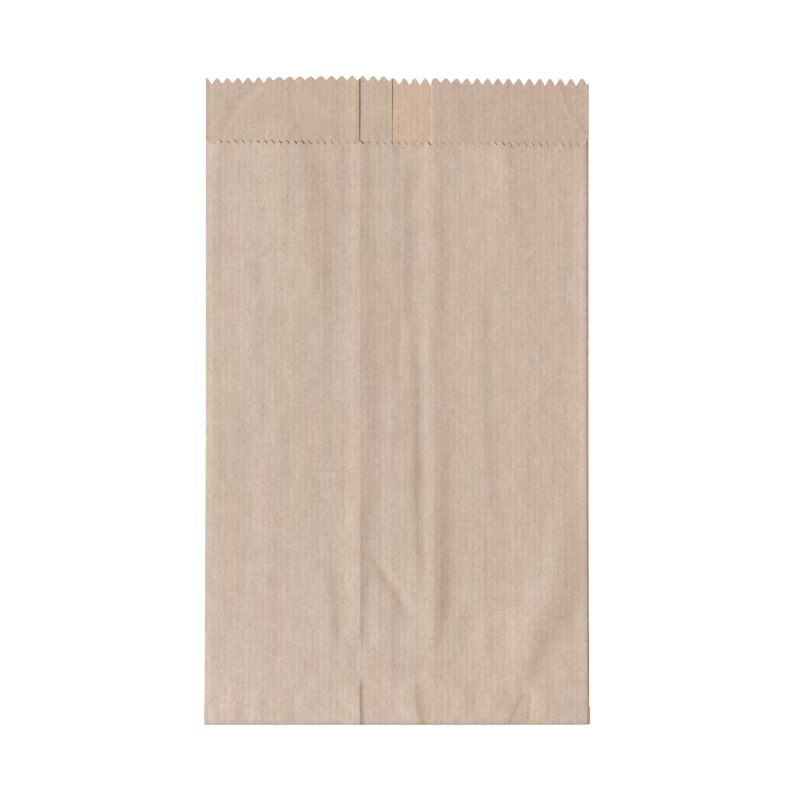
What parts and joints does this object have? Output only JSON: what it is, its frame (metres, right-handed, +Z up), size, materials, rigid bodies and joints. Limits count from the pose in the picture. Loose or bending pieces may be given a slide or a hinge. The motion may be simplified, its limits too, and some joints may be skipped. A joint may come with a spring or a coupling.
{
  "type": "paper bag",
  "caption": "Flat-folded kraft paper bag with side gussets, a lapped back seam, a folded-under bottom and a toothed mouth with a lower front edge.",
  "frame": {"origin": "centre of the flat underside of the bag, which lies on its back", "axes": "+X across the bag to the right as the front panel is seen, +Y along it from the bottom fold to the mouth, +Z up out of the front panel"},
  "size_m": [0.1512, 0.2546, 0.0022],
  "materials": {
    "kraft_paper": "uncoated brown kraft paper, faintly ribbed along the bag, matt"
  },
  "bodies": {
    "root": {"paper_bag": "kraft_paper"}
  },
  "joints": []
}
